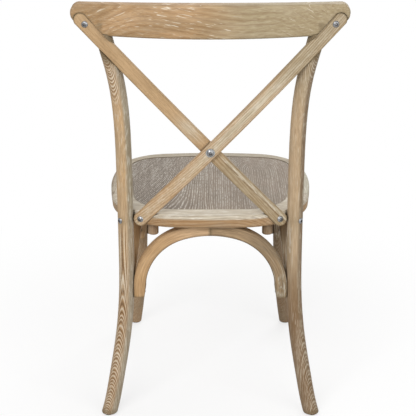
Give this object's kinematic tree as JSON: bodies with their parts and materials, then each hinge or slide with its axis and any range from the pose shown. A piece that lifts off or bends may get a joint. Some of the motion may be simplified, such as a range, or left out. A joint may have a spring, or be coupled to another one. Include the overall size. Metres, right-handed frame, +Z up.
{
  "type": "cross back chair",
  "caption": "Bent-wood dining chair with a wide curved crest rail, crossed back slats, an inset panel seat, arched braces and splayed round legs.",
  "frame": {"origin": "centre of the bounding box's base, on the floor", "axes": "+Z up, -Y to the chair's front, +X to the sitter's left"},
  "size_m": [0.534, 0.5242, 0.8864],
  "materials": {
    "limed_wood": "oak with white grain, matt lacquer",
    "limed_wood_light": "paler oak with white grain, matt lacquer",
    "panel_veneer": "grey-brown oak veneer with white grain, matt lacquer",
    "dowel_wood": "bare beech",
    "steel": "zinc plated",
    "nylon": "moulded nylon"
  },
  "bodies": {
    "root": {"arch_leg_screws": "steel", "arch_seat_screws": "steel", "barrel_nuts": "steel", "crest_rail": "limed_wood_light", "cross_bolt": "steel", "cross_cap_nut": "steel", "cross_slat_inner": "limed_wood_light", "cross_slat_outer": "limed_wood_light", "cross_washer": "steel", "foot_glides": "nylon", "front_arch_left": "limed_wood", "front_arch_right": "limed_wood", "front_leg_left": "limed_wood", "front_leg_right": "limed_wood", "rear_arch_left": "limed_wood", "rear_arch_right": "limed_wood", "rear_leg_bolts": "steel", "rear_leg_left": "limed_wood", "rear_leg_right": "limed_wood", "seat_dowels": "dowel_wood", "seat_panel": "panel_veneer", "seat_rail_front": "limed_wood", "seat_rail_left": "limed_wood", "seat_rail_rear": "limed_wood", "seat_rail_right": "limed_wood", "side_arch_front_left": "limed_wood", "side_arch_front_right": "limed_wood", "side_arch_rear_left": "limed_wood", "side_arch_rear_right": "limed_wood", "slat_foot_screws": "steel", "slat_top_screws": "steel", "stacking_pegs": "limed_wood"}
  },
  "joints": []
}
